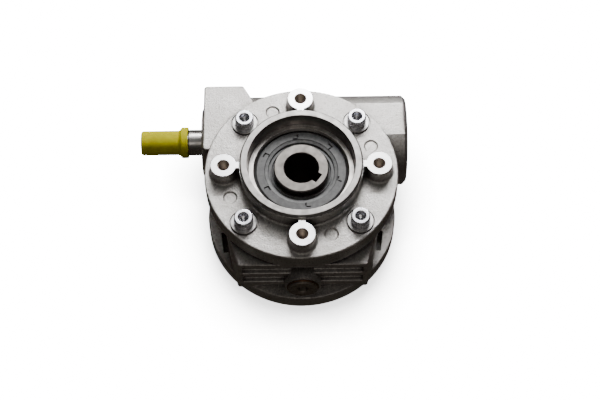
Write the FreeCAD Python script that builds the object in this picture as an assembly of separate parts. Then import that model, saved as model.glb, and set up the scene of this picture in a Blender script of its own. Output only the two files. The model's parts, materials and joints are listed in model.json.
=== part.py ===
"""Worm gearbox, centre distance 50 mm, ratio 30:1, with a hollow output shaft.

Millimetres. The origin is the centre of the output bore, half way along it. +Z is the output
axis and points out of the bolted cover, +X runs along the worm towards its blind end, and +Y
points from the output axis to the worm. The gearbox lies on its rear pilot ring.
"""
import FreeCAD, Part
import math
import os

from FreeCAD import Vector

# Gearing
CENTRE_DISTANCE = 50.0
MODULE = 2.5
WHEEL_TEETH = 30
WORM_PITCH_R = 12.5
PRESSURE_ANGLE = math.radians(20)
FLANK_THINNING = 0.16          # taken off the thread and the teeth, for backlash
TIP_CLEARANCE = 0.6
WORM_TURNS = 4.5
WHEEL_HALF_WIDTH = 9.0
HUB_MIDDLE_R = 30.0            # seat of the bronze rim

# Output shaft, bearings and seals
BORE_R = 12.5
KEY_WIDTH = 8.0
KEY_TOP = 15.8                 # from the axis to the floor of the keyway
KEY_ANGLE = -36.0
HUB_R = 20.0
HUB_HALF_LENGTH = 45.6
OUTPUT_SEAT_R = 34.0
OUTPUT_BEARING_Z = 10.0        # inner face of each output bearing
OUTPUT_BEARING_WIDTH = 15.0
SHIM_THICKNESS = 0.5
LIP_R = 31.0
SEAL_Z = 34.2                  # inner face of each output seal
SEAL_WIDTH = 7.0

# Castings
COVER_R = 71.0
FLANGE_R = 72.2
SEAT_Z = 26.0                  # joint between the housing and the cover
FLANGE_Z = 40.0                # outer face of the cover and of the rear flange
RING_Z = 54.4                  # face of the pilot ring
PILOT_R = 44.7                 # turned part of the ring
PILOT_LOW_Z = 51.2
RING_OUTER_R = 45.2            # cast part of the ring
RING_INNER_R = 39.3
LEDGE_R = 38.8                 # flat ledge inside the ring, around the seal
LEDGE_Z = 42.8
CHAMBER_R = 48.0
CHAMBER_FLOOR_Z = -22.0
SEAT_WALL_R = 37.5             # outside of the bearing seats, inside the chamber
BARREL_R = 34.5
BARREL_END_X = 80.5
PAD_Z = 31.6
PAD_X = (42.0, 78.0)
BLOCK_HALF_Z = 34.0
BLOCK_X = -73.4
INPUT_FACE_X = -75.4
INPUT_BOSS_R = 26.0
NECK_R = 66.0                  # round neck of the body, under the cover
RIB_TOPS = (23.5, 9.8, -3.9)
RIB_THICKNESS = 4.6
RIB_FACE_Y = -68.0
GROOVE_FLOOR_Y = -64.0
GROOVE_END_X = 44.0
BODY_FRONT_Y = -61.0           # front of the body below the lowest rib
POCKET = (3.6, 17.0, 8.0)      # core pockets in the rear flange: width, length and depth
POCKET_PLACE = (59.25, -24.0)
POCKET_ANGLE = 7.8

# Flange bosses and screws
BOSS_R = 9.4
BOSS_FOOT_R = 10.2
BOSS_PCD_R = 56.5
BOSS_Z = 50.6
BOSS_WEB = 5.0
FRONT_HOLE = (4.0, 0.55)       # M8 tapped hole at its nominal radius, and its chamfer
REAR_HOLE = (3.4, 0.9)         # M8 tapped hole at its drill radius, and its chamfer
TAP_DEPTH = 16.0
SCREW_PCD_R = 59.0
SCREW_R = 4.0
SCREW_HEAD_R = 6.8             # over the knurl
SCREW_HEAD = 8.0
SCREW_LENGTH = 25.0
SCREW_SOCKET = 6.0
SPOTFACE_R = 10.4
SPOTFACE_DEPTH = 1.2
WASHER_R = 9.5
WASHER = 2.1
MARK_R = 5.3
MARK_PCD_R = 55.8
MARK_ANGLE = 22.0
MARK_DEPTH = 1.0

# Worm shaft, its bearings and its seal
WORM_SEAT_R = 21.0
WORM_BORE_R = 15.3
JOURNAL_R = 10.0
SHOULDER_R = 13.0
INPUT_BEARING_X = -66.4
END_BEARING_X = 59.25
WORM_BEARING_WIDTH = 12.0
CIRCLIP = 1.75
INPUT_R = 8.0
INPUT_STEP_X = -86.6
INPUT_END_X = -121.9
END_CAP_X = 73.2
END_CAP_WIDTH = 7.0

# Oil plug on the ribbed front
PLUG_BOSS_R = 13.0
PLUG_FACE_Y = -74.0
PLUG_WASHER_R = 11.6
PLUG_WASHER = 1.0
PLUG_COLLAR_R = 10.8
PLUG_COLLAR = 1.6
PLUG_THREAD_R = 8.3

RUN_CLEARANCE = 0.05
Z_AXIS = Vector(0, 0, 1)
QUARTER_TURNS = (0, 90, 180, 270)


# ---------------------------------------------------------------- drawing helpers

def rounded_edges(corners, to_point):
    """Closed outline through (a, b, radius) corners, each rounded by its own radius."""
    joints = []
    for index, (a, b, radius) in enumerate(corners):
        here = Vector(a, b, 0)
        before = Vector(corners[index - 1][0], corners[index - 1][1], 0) - here
        after_corner = corners[(index + 1) % len(corners)]
        after = Vector(after_corner[0], after_corner[1], 0) - here
        if radius == 0:
            joints.append((here, None, here))
            continue
        half = before.getAngle(after) / 2
        before.normalize()
        after.normalize()
        reach = radius / math.tan(half)
        middle = (before + after).normalize() * (radius / math.sin(half) - radius)
        joints.append((here + before * reach, here + middle, here + after * reach))
    edges = []
    for index, (start, middle, end) in enumerate(joints):
        if middle is not None:
            edges.append(Part.Arc(*[to_point(p) for p in (start, middle, end)]).toShape())
        following = joints[(index + 1) % len(joints)][0]
        if (following - end).Length > 1e-6:
            edges.append(Part.LineSegment(to_point(end), to_point(following)).toShape())
    return edges


def turned(corners):
    """Solid of revolution about Z, from (radius, z, rounding) corners."""
    wire = Part.Wire(rounded_edges(corners, lambda p: Vector(p.x, 0, p.y)))
    return Part.Face(wire).revolve(Vector(0, 0, 0), Z_AXIS, 360)


def sharp(points):
    """The same corners with no rounding."""
    return [(a, b, 0) for a, b in points]


def prism(corners, z_low, z_high):
    """Upright prism of (x, y, rounding) corners."""
    wire = Part.Wire(rounded_edges(corners, lambda p: Vector(p.x, p.y, z_low)))
    return Part.Face(wire).extrude(Vector(0, 0, z_high - z_low))


def cylinder(radius, z_low, z_high, x=0.0, y=0.0):
    return Part.makeCylinder(radius, z_high - z_low, Vector(x, y, z_low))


def box(x_range, y_range, z_range):
    size = [high - low for low, high in (x_range, y_range, z_range)]
    return Part.makeBox(*size, Vector(x_range[0], y_range[0], z_range[0]))


def softened(shape, radius):
    """The shape with every edge rounded, as a casting has them."""
    return shape.makeFillet(radius, shape.Edges)


def polar(radius, degrees):
    return radius * math.cos(math.radians(degrees)), radius * math.sin(math.radians(degrees))


def around_z(shape, degrees):
    return shape.rotated(Vector(0, 0, 0), Z_AXIS, degrees)


def upside_down(shape):
    """The shape turned half a turn about X, from the cover side to the rear side."""
    return shape.rotated(Vector(0, 0, 0), Vector(1, 0, 0), 180)


def on_worm_axis(shape):
    """A shape drawn about Z, laid along the worm axis so that its z becomes x."""
    laid = shape.rotated(Vector(0, 0, 0), Vector(0, 1, 0), 90)
    return laid.translated(Vector(0, CENTRE_DISTANCE, 0))


def hexagon(across_flats, z_low, z_high):
    corner_r = across_flats / math.sqrt(3)
    points = [polar(corner_r, 60 * side) for side in range(6)]
    return prism(sharp(points), z_low, z_high)


# ---------------------------------------------------------------- castings

def pilot_profile(inner_z):
    """Half section of a pilot ring with its flange face, from the seal seat outwards."""
    return [
        (LIP_R, inner_z, 0), (LIP_R, SEAL_Z, 0), (OUTPUT_SEAT_R, SEAL_Z, 0),
        (OUTPUT_SEAT_R, LEDGE_Z - 1.2, 0), (OUTPUT_SEAT_R + 1.2, LEDGE_Z, 0),
        (LEDGE_R, LEDGE_Z, 0.6), (RING_INNER_R, RING_Z, 0.4),
        (PILOT_R - 1.0, RING_Z, 0), (PILOT_R, RING_Z - 1.0, 0),
        (PILOT_R, PILOT_LOW_Z, 0), (RING_OUTER_R, PILOT_LOW_Z, 0.2), (RING_OUTER_R, FLANGE_Z, 1.6),
    ]


def boss_and_web(degrees):
    """One mounting boss on the flange face, tied to the pilot ring by a web."""
    root_r = BOSS_FOOT_R + 2.9
    boss = turned([
        (0, FLANGE_Z - 2, 0), (root_r, FLANGE_Z - 2, 0), (root_r, FLANGE_Z, 0),
        (BOSS_FOOT_R, FLANGE_Z, 1.6), (BOSS_R, BOSS_Z, 0.3), (0, BOSS_Z, 0),
    ]).translated(Vector(BOSS_PCD_R, 0, 0))
    web = box((RING_OUTER_R - 2, BOSS_PCD_R), (-BOSS_WEB / 2, BOSS_WEB / 2), (FLANGE_Z - 2, BOSS_Z))
    return around_z(boss.fuse(web), degrees)


def tapped_hole(degrees, radius, chamfer):
    x, y = polar(BOSS_PCD_R, degrees)
    hole = cylinder(radius, BOSS_Z - TAP_DEPTH, BOSS_Z, x, y)
    point = Part.makeCone(0.4, radius, 1.8, Vector(x, y, BOSS_Z - TAP_DEPTH - 1.8))
    mouth = Part.makeCone(radius, radius + chamfer, chamfer, Vector(x, y, BOSS_Z - chamfer))
    return hole.fuse([point, mouth])


def ejector_marks():
    """Shallow round marks that the mould leaves on the flange face."""
    marks = []
    for turn in QUARTER_TURNS:
        x, y = polar(MARK_PCD_R, MARK_ANGLE + turn)
        floor_z = FLANGE_Z - MARK_DEPTH
        marks.append(Part.makeCone(MARK_R - MARK_DEPTH, MARK_R, MARK_DEPTH, Vector(x, y, floor_z)))
    return marks


def flange_face_features(body, hole):
    """Bosses, tapped holes and moulding marks of one flange, on the +Z side."""
    body = body.fuse([boss_and_web(turn) for turn in QUARTER_TURNS])
    return body.cut([tapped_hole(turn, *hole) for turn in QUARTER_TURNS] + ejector_marks())


def screw_places():
    return [polar(SCREW_PCD_R, 45 + turn) for turn in QUARTER_TURNS]


def side_cover():
    spigot_r = CHAMBER_R - RUN_CLEARANCE
    shoulder_z = OUTPUT_BEARING_Z + OUTPUT_BEARING_WIDTH + SHIM_THICKNESS
    profile = pilot_profile(shoulder_z) + [
        (COVER_R, FLANGE_Z, 1.2), (COVER_R, SEAT_Z, 0.5), (spigot_r, SEAT_Z, 0),
        (spigot_r, 25.2, 0), (45.5, 25.2, 0), (45.5, 22.8, 0), (spigot_r, 22.8, 0),
        (spigot_r, 21.8, 0), (44.0, 21.8, 0), (44.0, 28.0, 1.5), (SEAT_WALL_R, 28.0, 1.5),
        (SEAT_WALL_R, OUTPUT_BEARING_Z, 0), (OUTPUT_SEAT_R, OUTPUT_BEARING_Z, 0),
        (OUTPUT_SEAT_R, shoulder_z, 0),
    ]
    body = flange_face_features(turned(profile), FRONT_HOLE)
    cuts = []
    for x, y in screw_places():
        cuts.append(cylinder(SCREW_R + 0.5, SEAT_Z - 1, FLANGE_Z + 1, x, y))
        cuts.append(cylinder(SPOTFACE_R, FLANGE_Z - SPOTFACE_DEPTH, FLANGE_Z + 12, x, y))
    return body.cut(cuts)


def body_outline(front_y):
    """Outline of the body between the flanges, open to the barrel at the back."""
    shoulder_x, shoulder_y = 52.5, -48.0
    corner_x = shoulder_x + 0.305 * (front_y - shoulder_y)
    right = [(corner_x, front_y, 2.0), (shoulder_x, shoulder_y, 6.0), (57.5, -22.0, 6.0),
             (57.5, 30.0, 0)]
    left = [(-x, y, radius) for x, y, radius in reversed(right)]
    return left + right


def ribbed_body():
    """Body between the flanges, with rounded grooves between the ribs on its front."""
    lowest = RIB_TOPS[-1] - RIB_THICKNESS
    block = prism(body_outline(RIB_FACE_Y), lowest, RIB_TOPS[0])
    grooves = []
    for above, below in zip(RIB_TOPS, RIB_TOPS[1:]):
        grooves.append(box((-GROOVE_END_X, GROOVE_END_X), (RIB_FACE_Y - 1, GROOVE_FLOOR_Y),
                           (below, above - RIB_THICKNESS)))
    ribbed = softened(block.cut(grooves), 0.9)
    below_ribs = prism(body_outline(BODY_FRONT_Y), -SEAT_Z - 1, RIB_TOPS[0] - 2)
    neck = prism(body_outline(RIB_FACE_Y), RIB_TOPS[0] - 2, SEAT_Z).common(
        cylinder(NECK_R, RIB_TOPS[0] - 2, SEAT_Z))
    return ribbed.fuse([below_ribs, neck])


def housing_outside():
    rear = upside_down(turned(pilot_profile(OUTPUT_BEARING_Z + OUTPUT_BEARING_WIDTH) + [
        (FLANGE_R, FLANGE_Z, 1.2), (FLANGE_R, SEAT_Z, 1.0), (CHAMBER_R, SEAT_Z, 0),
        (CHAMBER_R, -CHAMBER_FLOOR_Z, 0), (SEAT_WALL_R, -CHAMBER_FLOOR_Z, 1.5),
        (SEAT_WALL_R, OUTPUT_BEARING_Z, 0), (OUTPUT_SEAT_R, OUTPUT_BEARING_Z, 0),
        (OUTPUT_SEAT_R, OUTPUT_BEARING_Z + OUTPUT_BEARING_WIDTH, 0),
    ]))
    chamfer = 2.6
    barrel = on_worm_axis(turned([
        (0, -40, 0), (BARREL_R, -40, 0), (BARREL_R, BARREL_END_X - chamfer, 0),
        (BARREL_R - chamfer, BARREL_END_X, 0), (0, BARREL_END_X, 0),
    ]))
    pad = box(PAD_X, (20, 80), (PAD_Z, BARREL_R + 1))
    block = softened(prism([(BLOCK_X, 23.0, 3.0), (BLOCK_X, 80.0, 2.5), (-43.5, 80.0, 2.5),
                            (-34.5, 64.0, 3.0), (-28.0, 50.0, 2.0), (-28.0, 23.0, 2.0)],
                           -BLOCK_HALF_Z, BLOCK_HALF_Z), 1.4)
    input_boss = on_worm_axis(turned([
        (0, INPUT_FACE_X, 0), (INPUT_BOSS_R, INPUT_FACE_X, 0.6),
        (INPUT_BOSS_R, BLOCK_X + 1, 0), (0, BLOCK_X + 1, 0),
    ]))
    plug_boss = Part.makeCylinder(PLUG_BOSS_R, 20, Vector(0, PLUG_FACE_Y, 0), Vector(0, 1, 0))
    outside = ribbed_body().fuse([barrel.cut(pad), block, input_boss, plug_boss])
    cover_seat = cylinder(COVER_R + 0.5, SEAT_Z, FLANGE_Z)
    chamber = cylinder(CHAMBER_R, CHAMBER_FLOOR_Z, SEAT_Z + 1)
    rear_room = cylinder(CHAMBER_R, -FLANGE_Z, CHAMBER_FLOOR_Z)
    return outside.cut([cover_seat, chamber, rear_room]).fuse(rear)


def worm_tunnel():
    """The bored tunnel of the worm, with its bearing seats and circlip grooves."""
    groove_r = WORM_SEAT_R + 1.25
    input_inner_x = INPUT_BEARING_X + WORM_BEARING_WIDTH
    end_outer_x = END_BEARING_X + WORM_BEARING_WIDTH
    return on_worm_axis(turned(sharp([
        (0, INPUT_FACE_X - 1), (WORM_SEAT_R, INPUT_FACE_X - 1),
        (WORM_SEAT_R, INPUT_BEARING_X - CIRCLIP - 0.1),
        (groove_r, INPUT_BEARING_X - CIRCLIP - 0.1), (groove_r, INPUT_BEARING_X),
        (WORM_SEAT_R, INPUT_BEARING_X), (WORM_SEAT_R, input_inner_x),
        (WORM_BORE_R, input_inner_x), (WORM_BORE_R, END_BEARING_X),
        (WORM_SEAT_R, END_BEARING_X), (WORM_SEAT_R, end_outer_x), (groove_r, end_outer_x),
        (groove_r, end_outer_x + CIRCLIP + 0.1), (WORM_SEAT_R, end_outer_x + CIRCLIP + 0.1),
        (WORM_SEAT_R, BARREL_END_X + 1), (0, BARREL_END_X + 1),
    ])))


def housing():
    body = upside_down(flange_face_features(upside_down(housing_outside()), REAR_HOLE))
    cuts = [worm_tunnel()]
    for x, y in screw_places():
        cuts.append(cylinder(SCREW_R, screw_tip_z() - 0.2, SEAT_Z + 1, x, y))
    into_y = Vector(0, 1, 0)
    cuts.append(Part.makeCylinder(PLUG_THREAD_R + RUN_CLEARANCE, 14, Vector(0, PLUG_FACE_Y, 0), into_y))
    cuts.append(Part.makeCylinder(5.5, 30, Vector(0, PLUG_FACE_Y, 0), into_y))
    width, length, depth = POCKET
    pocket = box((-width / 2, width / 2), (-length / 2, length / 2), (-SEAT_Z - depth, -SEAT_Z + 1))
    for side in (-1, 1):
        place = Vector(side * POCKET_PLACE[0], POCKET_PLACE[1], 0)
        cuts.append(around_z(pocket, -side * POCKET_ANGLE).translated(place))
    return body.cut(cuts).removeSplitter()


# ---------------------------------------------------------------- cover fasteners and sealing

def head_seat_z():
    return FLANGE_Z - SPOTFACE_DEPTH + WASHER


def screw_tip_z():
    return head_seat_z() - SCREW_LENGTH


def cover_screws():
    """Four M8 socket head cap screws."""
    seat = head_seat_z()
    top = seat + SCREW_HEAD
    shank_r = SCREW_R - RUN_CLEARANCE
    blank = turned([
        (0, screw_tip_z(), 0), (shank_r - 1, screw_tip_z(), 0), (shank_r, screw_tip_z() + 1, 0),
        (shank_r, seat, 0), (SCREW_HEAD_R, seat, 0.3), (SCREW_HEAD_R, top, 0.9), (0, top, 0),
    ])
    socket_depth = 4.0
    socket = hexagon(SCREW_SOCKET, top - socket_depth, top + 1)
    mouth = Part.makeCone(3.1, 4.1, 0.8, Vector(0, 0, top - 0.8))
    point = Part.makeCone(0.3, 2.7, 1.4, Vector(0, 0, top - socket_depth - 1.4))
    screw = blank.cut([socket, mouth, point])
    return [around_z(screw, 11.0 * n).translated(Vector(x, y, 0))
            for n, (x, y) in enumerate(screw_places())]


def cover_washers():
    """Four plain washers under the screw heads, in their spotfaces."""
    low = FLANGE_Z - SPOTFACE_DEPTH
    washer = turned([(4.2, low, 0.2), (WASHER_R, low, 0.2), (WASHER_R, low + WASHER, 0.4),
                     (4.2, low + WASHER, 0.2)])
    return [washer.translated(Vector(x, y, 0)) for x, y in screw_places()]


def cover_oring():
    return turned([(45.6, 22.9, 0.7), (47.9, 22.9, 0.7), (47.9, 25.1, 0.7), (45.6, 25.1, 0.7)])


def oil_plug():
    """Collar screw plug with a hexagon socket, along -Y."""
    seat = -PLUG_FACE_Y + PLUG_WASHER
    top = seat + PLUG_COLLAR
    body = turned([
        (0, seat - 12, 0), (PLUG_THREAD_R - 1, seat - 12, 0), (PLUG_THREAD_R, seat - 11, 0),
        (PLUG_THREAD_R, seat, 0), (PLUG_COLLAR_R, seat, 0), (PLUG_COLLAR_R, top, 0.6), (0, top, 0),
    ])
    socket = hexagon(8.0, top - 5.5, top + 1)
    rim = Part.makeCone(4.3, 5.1, 0.8, Vector(0, 0, top - 0.8))
    return body.cut([socket, rim]).rotated(Vector(0, 0, 0), Vector(1, 0, 0), 90)


def oil_plug_washer():
    low = -PLUG_FACE_Y
    high = low + PLUG_WASHER
    ring = turned([(8.5, low, 0.3), (PLUG_WASHER_R, low, 0.3), (PLUG_WASHER_R, high, 0.3),
                   (8.5, high, 0.3)])
    return ring.rotated(Vector(0, 0, 0), Vector(1, 0, 0), 90)


# ---------------------------------------------------------------- rotary seals

def seal_body(shaft_r, seat_r, width):
    """Rubber covered seal ring from z = 0 to its outer face at z = width."""
    lip_r = shaft_r + RUN_CLEARANCE
    back = width - 3.4
    flat = [(seat_r, 0), (seat_r, width - 1.5), (seat_r - 1.4, width), (lip_r + 6.9, width),
            (lip_r + 6.5, width - 0.5), (lip_r + 4.4, width - 0.8), (lip_r + 4.1, width - 1.2),
            (lip_r + 4.1, width - 2.2)]
    dust_lip = [(lip_r + 2.6, width - 2.2), (lip_r + 2.6, width - 1.3), (lip_r + 1.8, width - 1.3),
                (lip_r + 1.5, width - 2.6), (lip_r, width - 3.0), (lip_r + 0.9, width - 3.6)]
    main_lip = [(lip_r + 0.9, 2.9), (lip_r, 2.0), (lip_r + 0.8, 0.5), (lip_r + 2.2, 0.5),
                (lip_r + 2.2, 1.1), (lip_r + 1.5, 1.3), (lip_r + 1.5, 2.9), (lip_r + 2.9, 3.1)]
    inside = [(lip_r + 2.9, back), (seat_r - 1.6, back), (seat_r - 1.6, 0)]
    return turned(sharp(flat + dust_lip + main_lip + inside))


def seal_notches(seat_r, width):
    """Six moulded nicks on the outer face of a seal, each a radial slot with a foot."""
    inner_r, outer_r, foot, half = seat_r - 7.0, seat_r - 3.3, 3.6, 0.5
    z_range = (width - 1.4, width + 1)
    slot = box((inner_r, outer_r), (-half, half), z_range)
    outward = slot.fuse(box((outer_r - 2 * half, outer_r), (-half, foot), z_range))
    inward = slot.fuse(box((inner_r, inner_r + 2 * half), (-half, foot), z_range))
    notches = [around_z(outward, degrees) for degrees in (41, 150, 276)]
    return notches + [around_z(inward, degrees) for degrees in (95, 208, 342)]


def output_seal():
    seal = seal_body(HUB_R, OUTPUT_SEAT_R, SEAL_WIDTH)
    return seal.cut(seal_notches(OUTPUT_SEAT_R, SEAL_WIDTH)).translated(Vector(0, 0, SEAL_Z))


def input_seal():
    """Seal of the input shaft, its outer face flush with the input boss."""
    seal = seal_body(JOURNAL_R, WORM_SEAT_R, SEAL_WIDTH)
    outward = seal.rotated(Vector(0, 0, 0), Vector(1, 0, 0), 180)
    return on_worm_axis(outward.translated(Vector(0, 0, INPUT_FACE_X + SEAL_WIDTH)))


def garter_spring(shaft_r):
    """Spring ring that lies in the groove of a seal lip."""
    return Part.makeTorus(shaft_r + RUN_CLEARANCE + 2.2, 0.6, Vector(0, 0, 2.2))


def seal_springs():
    front = garter_spring(HUB_R).translated(Vector(0, 0, SEAL_Z))
    inward = garter_spring(JOURNAL_R).rotated(Vector(0, 0, 0), Vector(1, 0, 0), 180)
    shaft = on_worm_axis(inward.translated(Vector(0, 0, INPUT_FACE_X + SEAL_WIDTH)))
    return [front, upside_down(front), shaft]


# ---------------------------------------------------------------- ball bearings

def ball_bearing(bore_r, outer_r, width, ball_r, ball_count):
    """Outer ring, inner ring, balls and cage of a bearing from z = 0 to z = width."""
    pitch_r = (bore_r + outer_r) / 2
    land = 0.55 * ball_r
    edge = 0.6
    groove = Part.makeTorus(pitch_r, ball_r + 0.1, Vector(0, 0, width / 2))
    outer = turned([(pitch_r + land, 0, 0), (outer_r, 0, edge), (outer_r, width, edge),
                    (pitch_r + land, width, 0)]).cut(groove)
    inner = turned([(bore_r, 0, edge), (pitch_r - land, 0, 0), (pitch_r - land, width, 0),
                    (bore_r, width, edge)]).cut(groove)
    centres = [Vector(*polar(pitch_r, 360.0 * (n + 0.5) / ball_count), width / 2)
               for n in range(ball_count)]
    balls = [Part.makeSphere(ball_r, centre) for centre in centres]
    pockets = []
    for centre in centres:
        outward = Vector(centre.x, centre.y, 0).normalize()
        pockets.append(Part.makeCylinder(ball_r + 0.15, 2 * ball_r, centre - outward * ball_r, outward))
    half = 0.8 * ball_r + 1.4
    thin = 0.32 * ball_r
    cage = turned(sharp([(pitch_r - thin, width / 2 - half), (pitch_r + thin, width / 2 - half),
                         (pitch_r + thin, width / 2 + half), (pitch_r - thin, width / 2 + half)]))
    return {"outer": outer, "inner": inner, "balls": balls, "cage": cage.cut(pockets)}


def moved_bearing(parts, move):
    moved = {}
    for name, shape in parts.items():
        moved[name] = [move(ball) for ball in shape] if name == "balls" else move(shape)
    return moved


def output_bearings():
    parts = ball_bearing(HUB_R, OUTPUT_SEAT_R, OUTPUT_BEARING_WIDTH, 3.95, 12)
    lift = Vector(0, 0, OUTPUT_BEARING_Z)
    front = moved_bearing(parts, lambda shape: shape.translated(lift))
    return front, moved_bearing(front, upside_down)


def worm_bearing(start_x):
    parts = ball_bearing(JOURNAL_R, WORM_SEAT_R, WORM_BEARING_WIDTH, 3.15, 9)
    return moved_bearing(parts, lambda shape: on_worm_axis(shape.translated(Vector(0, 0, start_x))))


def bearing_shim():
    low = OUTPUT_BEARING_Z + OUTPUT_BEARING_WIDTH
    return turned(sharp([(30.5, low), (OUTPUT_SEAT_R, low), (OUTPUT_SEAT_R, low + SHIM_THICKNESS),
                         (30.5, low + SHIM_THICKNESS)]))


def circlip(start_x):
    """Open retaining ring with two drilled ears, for the worm tunnel."""
    top = start_x + CIRCLIP
    ring = cylinder(WORM_SEAT_R + 1.2, start_x, top).cut(
        cylinder(WORM_SEAT_R - 2.2, start_x - 1, top + 1, 0.6))
    ring = ring.cut(box((0, 30), (-5.0, 5.0), (start_x - 1, top + 1)))
    for side in (-1, 1):
        x, y = polar(17.6, side * 19)
        ear = cylinder(2.6, start_x, top, x, y).cut(cylinder(1.1, start_x - 1, top + 1, x, y))
        ring = ring.cut(cylinder(1.1, start_x - 1, top + 1, x, y)).fuse(ear)
    return on_worm_axis(ring)


def end_cap():
    """Pressed sealing cup that closes the blind end of the worm tunnel."""
    low, high = END_CAP_X, END_CAP_X + END_CAP_WIDTH
    wall = 1.8
    return on_worm_axis(turned([
        (0, high - wall, 0), (WORM_SEAT_R - wall, high - wall, 1.0), (WORM_SEAT_R - wall, low, 0),
        (WORM_SEAT_R, low, 0), (WORM_SEAT_R, high, 1.2), (0, high, 0),
    ]))


# ---------------------------------------------------------------- gearing and shafts

def involute(radius, base_r):
    angle = math.acos(min(1.0, base_r / radius))
    return math.tan(angle) - angle


def wheel_tooth_angles():
    """(radius, half angle of the tooth) from the root to the tip of a wheel tooth."""
    pitch_r = MODULE * WHEEL_TEETH / 2
    base_r = pitch_r * math.cos(PRESSURE_ANGLE)
    at_pitch = math.pi / 2 / WHEEL_TEETH - FLANK_THINNING / pitch_r
    tip_r = pitch_r + MODULE
    root_r = pitch_r - MODULE - TIP_CLEARANCE
    radii = [root_r] + [base_r + (tip_r - base_r) * step / 4 for step in range(5)]
    offset = at_pitch + involute(pitch_r, base_r)
    return [(radius, offset - involute(max(radius, base_r), base_r)) for radius in radii]


def wheel_outline(z):
    """Toothed outline of the worm wheel at height z, turned by the helix."""
    lead_angle = math.atan(MODULE / 2 / WORM_PITCH_R)
    turn = z * math.tan(lead_angle) / (MODULE * WHEEL_TEETH / 2)
    profile = wheel_tooth_angles()
    points = []
    for tooth in range(WHEEL_TEETH):
        middle = math.pi / 2 + turn + 2 * math.pi * tooth / WHEEL_TEETH
        flanks = [(r, middle - half) for r, half in profile]
        flanks += [(r, middle + half) for r, half in reversed(profile)]
        points += [Vector(r * math.cos(a), r * math.sin(a), z) for r, a in flanks]
    return Part.makePolygon(points + points[:1])


def worm_wheel_rim():
    """Bronze toothed rim, seated on the hollow shaft."""
    outlines = [wheel_outline(-WHEEL_HALF_WIDTH), wheel_outline(WHEEL_HALF_WIDTH)]
    blank = Part.makeLoft(outlines, True, True)
    return blank.cut(cylinder(HUB_MIDDLE_R, -WHEEL_HALF_WIDTH - 1, WHEEL_HALF_WIDTH + 1))


def output_hub():
    """Hollow output shaft with its keyway."""
    collar_r = HUB_R + 4
    ends = [(HUB_R, OUTPUT_BEARING_Z), (collar_r, OUTPUT_BEARING_Z),
            (collar_r, WHEEL_HALF_WIDTH), (HUB_MIDDLE_R, WHEEL_HALF_WIDTH)]
    outside = [(HUB_R - 0.6, HUB_HALF_LENGTH), (HUB_R, HUB_HALF_LENGTH - 0.6)] + ends
    outside += [(r, -z) for r, z in reversed(outside)]
    mouth = 0.5
    bore = [(BORE_R + mouth, -HUB_HALF_LENGTH), (BORE_R, mouth - HUB_HALF_LENGTH),
            (BORE_R, HUB_HALF_LENGTH - mouth), (BORE_R + mouth, HUB_HALF_LENGTH)]
    keyway = box((0, KEY_TOP), (-KEY_WIDTH / 2, KEY_WIDTH / 2),
                 (-HUB_HALF_LENGTH - 1, HUB_HALF_LENGTH + 1))
    return turned(sharp(outside + bore)).cut(around_z(keyway, KEY_ANGLE))


def worm_thread(lead, root_r):
    """Right-hand thread with straight flanks, drawn about Z and centred on z = 0."""
    half_at_pitch = lead / 4 - FLANK_THINNING
    inner_r, tip_r = root_r - 0.4, WORM_PITCH_R + MODULE
    slope = math.tan(PRESSURE_ANGLE)
    low = half_at_pitch + (WORM_PITCH_R - inner_r) * slope
    high = half_at_pitch - (tip_r - WORM_PITCH_R) * slope
    start = -WORM_TURNS * lead / 2
    corners = [Vector(inner_r, 0, -low), Vector(tip_r, 0, -high), Vector(tip_r, 0, high),
               Vector(inner_r, 0, low)]
    section = Part.makePolygon(corners + corners[:1])
    path = Part.Wire(Part.makeHelix(lead, WORM_TURNS * lead, WORM_PITCH_R))
    return path.makePipeShell([section], True, True).translated(Vector(0, 0, start))


def worm_shaft():
    """Worm and input shaft in one piece, with a keyway in the input end."""
    lead = math.pi * MODULE
    root_r = WORM_PITCH_R - MODULE - TIP_CLEARANCE + 0.1
    thread_end = WORM_TURNS * lead / 2 + 3
    input_inner_x = INPUT_BEARING_X + WORM_BEARING_WIDTH
    end_x = END_BEARING_X + WORM_BEARING_WIDTH
    body = turned(sharp([
        (0, INPUT_END_X), (INPUT_R - 1, INPUT_END_X), (INPUT_R, INPUT_END_X + 1),
        (INPUT_R, INPUT_STEP_X), (JOURNAL_R - 0.5, INPUT_STEP_X), (JOURNAL_R, INPUT_STEP_X + 0.5),
        (JOURNAL_R, input_inner_x), (SHOULDER_R, input_inner_x), (SHOULDER_R, -thread_end - 4),
        (root_r, -thread_end), (root_r, thread_end), (SHOULDER_R, thread_end + 4),
        (SHOULDER_R, END_BEARING_X), (JOURNAL_R, END_BEARING_X), (JOURNAL_R, end_x - 0.5),
        (JOURNAL_R - 0.5, end_x), (0, end_x),
    ]))
    key_half, key_start, key_end = 2.5, INPUT_END_X + 4, INPUT_STEP_X - 6
    floor = INPUT_R - 3.0
    slot = prism([(floor, key_start, 0), (INPUT_R + 1, key_start, 0), (INPUT_R + 1, key_end, 0),
                  (floor, key_end, 0)], -key_half, key_half)
    slot = slot.rotated(Vector(0, 0, 0), Vector(1, 0, 0), 90)
    return on_worm_axis(body.fuse(worm_thread(lead, root_r)).cut(slot))


def shaft_cap():
    """Soft cap that guards the input shaft until a coupling is fitted."""
    tip, mouth = -123.4, -87.0
    inside_r = INPUT_R + RUN_CLEARANCE
    return on_worm_axis(turned([
        (0, tip, 0), (8.9, tip, 0.6), (9.5, tip + 1.4, 0.6), (9.5, -94.0, 2.0), (12.0, -92.0, 1.0),
        (12.0, mouth, 0.8), (10.4, mouth, 0.5), (inside_r + 0.6, -92.0, 0), (inside_r, -94.0, 0),
        (inside_r, INPUT_END_X - 0.1, 0), (0, INPUT_END_X - 0.1, 0),
    ]))


# ---------------------------------------------------------------- every node

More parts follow.
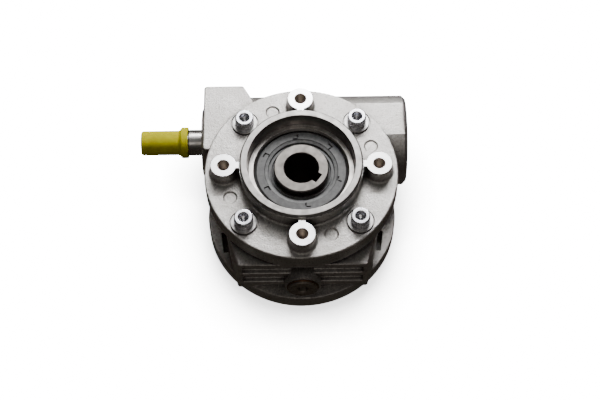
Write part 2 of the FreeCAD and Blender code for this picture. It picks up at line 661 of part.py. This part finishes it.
def all_nodes():
    nodes = {
        "housing": housing(),
        "side_cover": side_cover(),
        "cover_screws": cover_screws(),
        "cover_washers": cover_washers(),
        "cover_oring": cover_oring(),
        "bearing_shim": bearing_shim(),
        "front_output_seal": output_seal(),
        "rear_output_seal": upside_down(output_seal()),
        "input_seal": input_seal(),
        "seal_springs": seal_springs(),
        "output_hub": output_hub(),
        "worm_wheel_rim": worm_wheel_rim(),
        "worm_shaft": worm_shaft(),
        "input_circlip": circlip(INPUT_BEARING_X - CIRCLIP),
        "end_circlip": circlip(END_BEARING_X + WORM_BEARING_WIDTH),
        "end_cap": end_cap(),
        "oil_plug": oil_plug(),
        "oil_plug_washer": oil_plug_washer(),
        "shaft_cap": shaft_cap(),
    }
    front, rear = output_bearings()
    bearings = {"front_bearing": front, "rear_bearing": rear,
                "input_bearing": worm_bearing(INPUT_BEARING_X),
                "end_bearing": worm_bearing(END_BEARING_X)}
    for bearing, parts in bearings.items():
        for piece, shape in parts.items():
            nodes[bearing + "_" + piece] = shape
    return nodes


def main():
    os.makedirs("parts", exist_ok=True)
    for name, shape in all_nodes().items():
        if isinstance(shape, list):
            shape = Part.makeCompound(shape)
        shape.exportStep(os.path.join("parts", name + ".step"))


main()
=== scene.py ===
"""Looks of the worm gearbox: materials, fine surface detail, studio and camera, in metres."""

import json
import math

import bpy
from mathutils import Matrix, Vector


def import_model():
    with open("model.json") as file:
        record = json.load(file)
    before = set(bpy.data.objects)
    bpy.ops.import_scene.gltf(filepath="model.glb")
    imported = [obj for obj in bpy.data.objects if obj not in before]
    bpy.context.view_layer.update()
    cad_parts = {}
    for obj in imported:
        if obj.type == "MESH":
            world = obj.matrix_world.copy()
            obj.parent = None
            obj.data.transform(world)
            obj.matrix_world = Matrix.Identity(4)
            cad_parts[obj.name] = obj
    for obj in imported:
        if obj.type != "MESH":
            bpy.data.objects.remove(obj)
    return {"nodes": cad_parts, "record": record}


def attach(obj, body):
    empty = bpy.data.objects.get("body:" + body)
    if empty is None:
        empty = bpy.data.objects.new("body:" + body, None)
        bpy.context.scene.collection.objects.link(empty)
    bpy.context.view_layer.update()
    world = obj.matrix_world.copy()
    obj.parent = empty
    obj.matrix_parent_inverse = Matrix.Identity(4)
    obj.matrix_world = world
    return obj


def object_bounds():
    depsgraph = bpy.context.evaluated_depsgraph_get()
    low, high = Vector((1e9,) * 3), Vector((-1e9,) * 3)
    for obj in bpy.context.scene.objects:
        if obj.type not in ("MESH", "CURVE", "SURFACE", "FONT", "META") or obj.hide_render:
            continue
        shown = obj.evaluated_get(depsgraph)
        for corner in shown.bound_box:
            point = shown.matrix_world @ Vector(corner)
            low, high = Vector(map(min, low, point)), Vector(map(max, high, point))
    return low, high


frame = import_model()
nodes = frame["nodes"]
cad_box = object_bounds()

MM = 0.001

# Places on the object: heights above the worm axis and radii about the output axis, in metres
BOSS_FACE = 50.6 * MM
HOLE_BOTTOM = 32.0 * MM
SPOTFACE = 38.8 * MM
PILOT_R = 44.7 * MM
PILOT_LOW = 51.2 * MM
PILOT_INNER_R = 39.3 * MM
SEAL_SEAT_R = 34.0 * MM
SEAL_FACE = 41.2 * MM
WORM_Y = 50.0 * MM
BOSS_PCD_R = 56.5 * MM
SCREW_PCD_R = 59.0 * MM
HEAD_R = 6.8 * MM
KNURL_LOW = 41.2 * MM
KNURL_HIGH = 48.0 * MM
KNURL_TEETH = 40
THREAD_R = 4.0 * MM
THREAD_PITCH = 1.25 * MM
THREAD_LOW = 37.0 * MM
THREAD_HIGH = 49.6 * MM
HOLE_MOUTH_R = 4.6 * MM
TOLERANCE = 0.15 * MM


# ---------------------------------------------------------------- shader helpers

class Shader:
    """A node tree that is built up by short calls."""

    def __init__(self, name):
        self.material = bpy.data.materials.new(name)
        self.material.use_nodes = True
        self.tree = self.material.node_tree
        self.surface = self.tree.nodes["Principled BSDF"]
        self.position = self.add("ShaderNodeTexCoord").outputs["Object"]

    def add(self, kind, inputs=None, **settings):
        made = self.tree.nodes.new(kind)
        for key, value in settings.items():
            setattr(made, key, value)
        for key, value in (inputs or {}).items():
            self.put(made, key, value)
        return made

    def put(self, node, key, value):
        if isinstance(value, bpy.types.NodeSocket):
            self.tree.links.new(value, node.inputs[key])
        else:
            node.inputs[key].default_value = value

    def math(self, operation, first, second=0.0):
        return self.add("ShaderNodeMath", {0: first, 1: second}, operation=operation).outputs[0]

    def noise(self, size, detail=3.0, roughness=0.5, at=None, stretch=None):
        """Noise whose blobs are about `size` metres across, as a value from 0 to 1."""
        where = at or self.position
        if stretch:
            where = self.add("ShaderNodeVectorMath", {0: where, 1: stretch},
                             operation="MULTIPLY").outputs[0]
        made = self.add("ShaderNodeTexNoise", {
            "Vector": where, "Scale": 1.0 / size, "Detail": detail, "Roughness": roughness})
        return made.outputs["Fac"]

    def spread(self, value, low, high, to_low=0.0, to_high=1.0):
        return self.add("ShaderNodeMapRange", {
            "Value": value, "From Min": low, "From Max": high, "To Min": to_low, "To Max": to_high,
        }).outputs[0]

    def mix(self, amount, first, second):
        made = self.add("ShaderNodeMix", data_type="RGBA")
        self.put(made, 0, amount)
        self.put(made, 6, first)
        self.put(made, 7, second)
        return made.outputs[2]

    def bump(self, height, depth, normal=None):
        made = self.add("ShaderNodeBump", {"Height": height, "Distance": depth, "Strength": 1.0})
        if normal is not None:
            self.put(made, "Normal", normal)
        return made.outputs[0]

    def rounded(self, radius):
        return self.add("ShaderNodeBevel", {"Radius": radius}, samples=6).outputs[0]

    def finish(self, **inputs):
        for key, value in inputs.items():
            self.put(self.surface, key.replace("_", " "), value)
        return self.material


def grey(value, warmth=0.0):
    return (value * (1 + warmth), value, value * (1 - warmth), 1.0)


def radius_about(shader, axis):
    """Distance from an axis through the object: "Z", or "X" for the worm axis."""
    split = shader.add("ShaderNodeSeparateXYZ", {0: shader.position})
    first = split.outputs["X"]
    second = split.outputs["Y"]
    if axis == "X":
        first = shader.math("SUBTRACT", split.outputs["Y"], WORM_Y)
        second = split.outputs["Z"]
    first_square = shader.math("MULTIPLY", first, first)
    second_square = shader.math("MULTIPLY", second, second)
    return shader.math("SQRT", shader.math("ADD", first_square, second_square))


# ---------------------------------------------------------------- materials

def cast_aluminium():
    shader = Shader("cast_aluminium")
    grain = shader.noise(1.1 * MM, detail=5.0, roughness=0.65)
    stains = shader.noise(18 * MM, detail=5.0, roughness=0.6)
    specks = shader.noise(1.3 * MM, detail=2.0)
    pits = shader.noise(3.5 * MM, detail=3.0)
    colour = shader.mix(shader.spread(stains, 0.35, 0.7), grey(0.43, 0.045), grey(0.56, 0.03))
    colour = shader.mix(shader.spread(specks, 0.55, 0.68, 0.0, 0.5), colour, grey(0.26, 0.06))
    colour = shader.mix(shader.spread(pits, 0.66, 0.74, 0.0, 0.35), colour, grey(0.24, 0.10))
    # Painted shade: the colour darkens towards warm near-black wherever ambient occlusion finds
    # surfaces close by, in grooves, corners and under overhangs.
    painted_hollow_shade = shader.add("ShaderNodeAmbientOcclusion", {"Distance": 9 * MM}, samples=6).outputs["AO"]
    colour = shader.mix(shader.spread(painted_hollow_shade, 0.30, 0.85, 0.90, 0.0), colour, grey(0.05, 0.12))
    normal = shader.bump(grain, 0.42 * MM, shader.rounded(0.5 * MM))
    normal = shader.bump(pits, 0.30 * MM, normal)
    normal = shader.bump(stains, 0.35 * MM, normal)
    return shader.finish(Base_Color=colour, Metallic=0.90, Normal=normal,
                         Roughness=shader.spread(grain, 0.3, 0.7, 0.36, 0.52))


def turned_metal(name, colour, axis, roughness=0.25, line=0.16, depth=0.012, metallic=1.0):
    """Metal with fine turned lines around an axis."""
    shader = Shader(name)
    radius = radius_about(shader, axis)
    rings = shader.add("ShaderNodeCombineXYZ", {0: radius}).outputs[0]
    lines = shader.noise(line * MM, detail=3.0, roughness=0.7, at=rings)
    smears = shader.noise(5 * MM, detail=4.0)
    tone = shader.mix(shader.spread(smears, 0.35, 0.7), colour,
                      tuple(0.82 * c for c in colour[:3]) + (1.0,))
    normal = shader.bump(lines, depth * MM, shader.rounded(0.2 * MM))
    return shader.finish(Base_Color=tone, Metallic=metallic, Normal=normal,
                         Roughness=shader.spread(smears, 0.3, 0.7, roughness * 0.8, roughness * 1.3))


def plain_metal(name, colour, roughness=0.3, grain=0.3, depth=0.01, metallic=1.0):
    """Plated or pressed metal with faint unevenness."""
    shader = Shader(name)
    fine = shader.noise(grain * MM, detail=3.0)
    broad = shader.noise(3 * MM, detail=4.0)
    tone = shader.mix(shader.spread(broad, 0.35, 0.7), colour,
                      tuple(0.75 * c for c in colour[:3]) + (1.0,))
    normal = shader.bump(fine, depth * MM, shader.rounded(0.25 * MM))
    return shader.finish(Base_Color=tone, Metallic=metallic, Normal=normal,
                         Roughness=shader.spread(broad, 0.3, 0.7, roughness * 0.8, roughness * 1.25))


def seal_rubber():
    shader = Shader("seal_rubber")
    fine = shader.noise(0.4 * MM, detail=4.0)
    dust = shader.noise(4 * MM, detail=5.0)
    colour = shader.mix(shader.spread(dust, 0.4, 0.7), grey(0.045), grey(0.085))
    normal = shader.bump(fine, 0.02 * MM, shader.rounded(0.2 * MM))
    return shader.finish(Base_Color=colour, Roughness=0.45, Normal=normal, Specular_IOR_Level=0.5)


def yellow_plastic():
    shader = Shader("yellow_plastic")
    cloud = shader.noise(6 * MM, detail=3.0)
    scuffs = shader.noise(1.2 * MM, detail=5.0, stretch=(0.35, 1.0, 1.0))
    colour = shader.mix(shader.spread(cloud, 0.3, 0.7), (0.50, 0.45, 0.010, 1), (0.58, 0.53, 0.012, 1))
    colour = shader.mix(shader.spread(scuffs, 0.6, 0.8, 0.0, 0.4), colour, (0.36, 0.33, 0.03, 1))
    normal = shader.bump(scuffs, 0.05 * MM, shader.rounded(0.3 * MM))
    return shader.finish(Base_Color=colour, Roughness=0.65, Normal=normal, Specular_IOR_Level=0.06,
                         Subsurface_Weight=0.08, Subsurface_Scale=0.002)


MATERIALS = {
    "cast_aluminium": cast_aluminium(),
    "faced": turned_metal("faced_aluminium", grey(0.97, 0.0), "Z", 0.22),
    # Pilot face: the dark base colour is partly the real turned finish and partly painted shade,
    # standing in for how light falls across the turned lines.
    "pilot": turned_metal("pilot_turned_and_painted_shade", grey(0.27, 0.04), "Z", 0.38, line=0.9, depth=0.09),
    "bored": turned_metal("bored_aluminium", grey(0.58, 0.05), "Z", 0.42, line=0.6, depth=0.06),
    "tapped": turned_metal("tapped_aluminium", (0.50, 0.42, 0.35, 1), "Z", 0.45),
    "zinc_steel": plain_metal("zinc_steel", (0.62, 0.62, 0.66, 1), 0.26),
    "washer": plain_metal("zinc_washer", grey(0.48, 0.02), 0.42),
    "seal_rubber": seal_rubber(),
    "spring_steel": plain_metal("spring_steel", grey(0.14, 0.02), 0.4),
    "coated_steel": plain_metal("coated_steel", grey(0.05), 0.5, metallic=0.0),
    "plug_steel": plain_metal("plug_steel", grey(0.34, 0.12), 0.50),
    "copper": turned_metal("copper", (0.24, 0.15, 0.09, 1), "Z", 0.40),
    "ground_steel": turned_metal("ground_steel", grey(0.50, 0.03), "X", 0.30, line=0.3),
    "hub_steel": turned_metal("hub_steel", grey(0.12, 0.07), "Z", 0.38),
    "bronze": plain_metal("bronze", (0.62, 0.40, 0.16, 1), 0.35),
    "bearing_steel": plain_metal("bearing_steel", grey(0.62), 0.15),
    "cage_steel": plain_metal("cage_steel", grey(0.45), 0.35),
    "yellow_plastic": yellow_plastic(),
}


def dress(name, slots, choose):
    """Gives a CAD node its materials; choose(centre, normal) picks a slot for each face."""
    mesh = nodes[name].data
    mesh.materials.clear()
    for slot in slots:
        mesh.materials.append(MATERIALS[slot])
    for face in mesh.polygons:
        face.material_index = choose(face.center, face.normal)


RAW, FACED, PILOT, BORED, TAPPED = range(5)


def casting_slot(centre, normal):
    """Tells raw casting from the faces that a tool has turned or bored."""
    height = abs(centre.z)
    flat = abs(normal.z) > 0.99
    radius = math.hypot(centre.x, centre.y)
    # Spotface floors take the dark pilot colour: painted shade around the washers and under the screw
    # heads.
    if flat and abs(height - SPOTFACE) < TOLERANCE:
        return PILOT
    if PILOT_INNER_R < radius < PILOT_R + TOLERANCE and height > PILOT_LOW - TOLERANCE:
        return PILOT
    if flat and height > BOSS_FACE - TOLERANCE:
        return FACED
    along, across = sorted((abs(centre.x), abs(centre.y)), reverse=True)
    if height > HOLE_BOTTOM and math.hypot(along - BOSS_PCD_R, across) < HOLE_MOUTH_R:
        return TAPPED
    inside_ring = SEAL_SEAT_R - TOLERANCE < radius < PILOT_INNER_R + TOLERANCE
    if inside_ring and height > SEAL_FACE - TOLERANCE:
        return BORED if flat else PILOT
    return RAW


for part in frame["record"]["subparts"]:
    if part["node"] in ("housing", "side_cover"):
        dress(part["node"], ("cast_aluminium", "faced", "pilot", "bored", "tapped"), casting_slot)
    elif part["node"] == "cover_washers":
        dress(part["node"], ("washer",), lambda centre, normal: 0)
    else:
        dress(part["node"], (part["material_slot"],), lambda centre, normal: 0)


# ---------------------------------------------------------------- fine pieces

def piece(name, rows, closed_rows, material):
    """Mesh through rows of points; each row is joined to the next, and to itself if closed_rows."""
    count = len(rows[0])
    points = [point for row in rows for point in row]
    faces = []
    for row in range(len(rows) - 1):
        for column in range(count if closed_rows else count - 1):
            after = (column + 1) % count
            faces.append((row * count + column, row * count + after,
                          (row + 1) * count + after, (row + 1) * count + column))
    mesh = bpy.data.meshes.new(name)
    mesh.from_pydata(points, [], faces)
    mesh.materials.append(MATERIALS[material])
    made = bpy.data.objects.new(name, mesh)
    bpy.context.scene.collection.objects.link(made)
    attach(made, "gearcase")
    return made


def on_circle(radius, turn):
    return radius * math.cos(turn), radius * math.sin(turn)


def knurl(name, x, y):
    """Knurled skin of a screw head, run out into the head at both ends."""
    run_out = 0.3 * MM
    sunk = 0.05 * MM
    tooth = (0.0, 0.09 * MM, 0.18 * MM, 0.09 * MM)
    steps = KNURL_TEETH * len(tooth)
    rows = []
    for height, raised in ((KNURL_LOW, False), (KNURL_LOW + run_out, True),
                           (KNURL_HIGH - run_out, True), (KNURL_HIGH, False)):
        row = []
        for step in range(steps):
            rise = tooth[step % len(tooth)] if raised else 0.0
            across, along = on_circle(HEAD_R - sunk + rise, 2 * math.pi * step / steps)
            row.append((x + across, y + along, height))
        rows.append(row)
    piece(name, rows, True, "zinc_steel")


def thread(name, x, y):
    """Helical crest inside a tapped hole of the cover."""
    steps_per_turn = 36
    turns = (THREAD_HIGH - THREAD_LOW) / THREAD_PITCH
    root, crest = 0.02 * MM, -0.55 * MM
    half_root, half_crest = 0.46 * MM, 0.08 * MM
    flanks = [(root, -half_root), (crest, -half_crest), (crest, half_crest), (root, half_root)]
    rows = []
    for step in range(int(turns * steps_per_turn)):
        height = THREAD_LOW + THREAD_PITCH * step / steps_per_turn
        row = []
        for outward, upward in flanks:
            across, along = on_circle(THREAD_R + outward, 2 * math.pi * step / steps_per_turn)
            row.append((x + across, y + along, height + upward))
        rows.append(row)
    piece(name, rows, False, "tapped")


QUARTER_TURN = math.pi / 2
for number in range(4):
    boss_turn = number * QUARTER_TURN
    knurl("screw_knurl_%d" % (number + 1), *on_circle(SCREW_PCD_R, boss_turn + QUARTER_TURN / 2))
    thread("boss_thread_%d" % (number + 1), *on_circle(BOSS_PCD_R, boss_turn))


# ---------------------------------------------------------------- studio

def floor():
    """White floor that glows evenly, with a painted contact shadow: the glow is dimmed where the object
    closes it in.
    """
    half = 3.0
    low = cad_box[0].z
    corners = [(-half, -half, low), (half, -half, low), (half, half, low), (-half, half, low)]
    mesh = bpy.data.meshes.new("floor")
    mesh.from_pydata(corners, [], [(0, 1, 2, 3)])
    plane = bpy.data.objects.new("floor", mesh)
    bpy.context.scene.collection.objects.link(plane)
    shader = Shader("floor")
    # Painted contact shadow: ambient occlusion dims the floor's glow close to the object.
    openness = shader.add("ShaderNodeAmbientOcclusion", {"Distance": 0.05}, samples=12).outputs["AO"]
    glow_with_painted_shadow = shader.spread(openness, 0.55, 1.0, 2.0, 18.0)
    shader.finish(Base_Color=grey(0.8), Roughness=0.9, Emission_Color=grey(1.0), Emission_Strength=glow_with_painted_shadow)
    mesh.materials.append(shader.material)
    plane.visible_diffuse = False
    plane.visible_glossy = False


def lamp(name, place, aim, size, power, colour=(1, 1, 1)):
    """Rectangular softbox at a place, turned towards its aim."""
    light = bpy.data.lights.new(name, "AREA")
    light.shape = "RECTANGLE"
    light.size, light.size_y = size
    light.energy = power
    light.color = colour
    made = bpy.data.objects.new(name, light)
    made.location = place
    made.rotation_euler = (Vector(aim) - Vector(place)).to_track_quat("-Z", "Y").to_euler()
    bpy.context.scene.collection.objects.link(made)


def world():
    """Dim room, warm below the horizon and lighter straight overhead."""
    made = bpy.data.worlds.new("studio")
    made.use_nodes = True
    tree = made.node_tree
    where = tree.nodes.new("ShaderNodeTexCoord").outputs["Generated"]
    split = tree.nodes.new("ShaderNodeSeparateXYZ")
    tree.links.new(where, split.inputs[0])
    ramp = tree.nodes.new("ShaderNodeValToRGB")
    tree.links.new(split.outputs["Z"], ramp.inputs[0])
    stops = ramp.color_ramp.elements
    stops[0].position, stops[0].color = 0.0, (0.034, 0.030, 0.024, 1)
    stops[1].position, stops[1].color = 1.0, (0.10, 0.10, 0.10, 1)
    middle = stops.new(0.5)
    middle.color = (0.040, 0.037, 0.033, 1)
    background = tree.nodes["Background"]
    tree.links.new(ramp.outputs[0], background.inputs[0])
    background.inputs[1].default_value = 1.0
    bpy.context.scene.world = made


def camera():
    """The view from the front and above, slightly rolled."""
    place = Vector((-1.85, -468.1, 853.0)) * MM
    aim = Vector((-1.26, -23.8, 40.0)) * MM
    roll = math.radians(-0.70)
    forward = (aim - place).normalized()
    level = forward.cross(Vector((0, 0, 1))).normalized()
    upright = level.cross(forward)
    right = level * math.cos(roll) + upright * math.sin(roll)
    up = right.cross(forward)
    lens = bpy.data.cameras.new("camera")
    lens.sensor_width = 36.0
    lens.lens = 77.0
    made = bpy.data.objects.new("camera", lens)
    turn = Matrix((right, up, -forward)).transposed().to_4x4()
    made.matrix_world = Matrix.Translation(place) @ turn
    bpy.context.scene.collection.objects.link(made)
    bpy.context.scene.camera = made


floor()
world()
lamp("softbox", (0.1, 1.08, 1.15), (0, 0.05, 0), (1.0, 0.55), 8.5)
lamp("back_box", (0.12, 0.68, 0.68), (0, 0.03, 0.03), (0.5, 0.22), 10)
lamp("mirror_strip", (0.0, 0.70, 1.25), (0, 0, 0), (0.30, 0.50), 2.6)
lamp("front_strip", (0.1, -0.80, 1.2), (0, 0, 0), (1.2, 0.3), 2.0, (1.0, 0.95, 0.87))
camera()
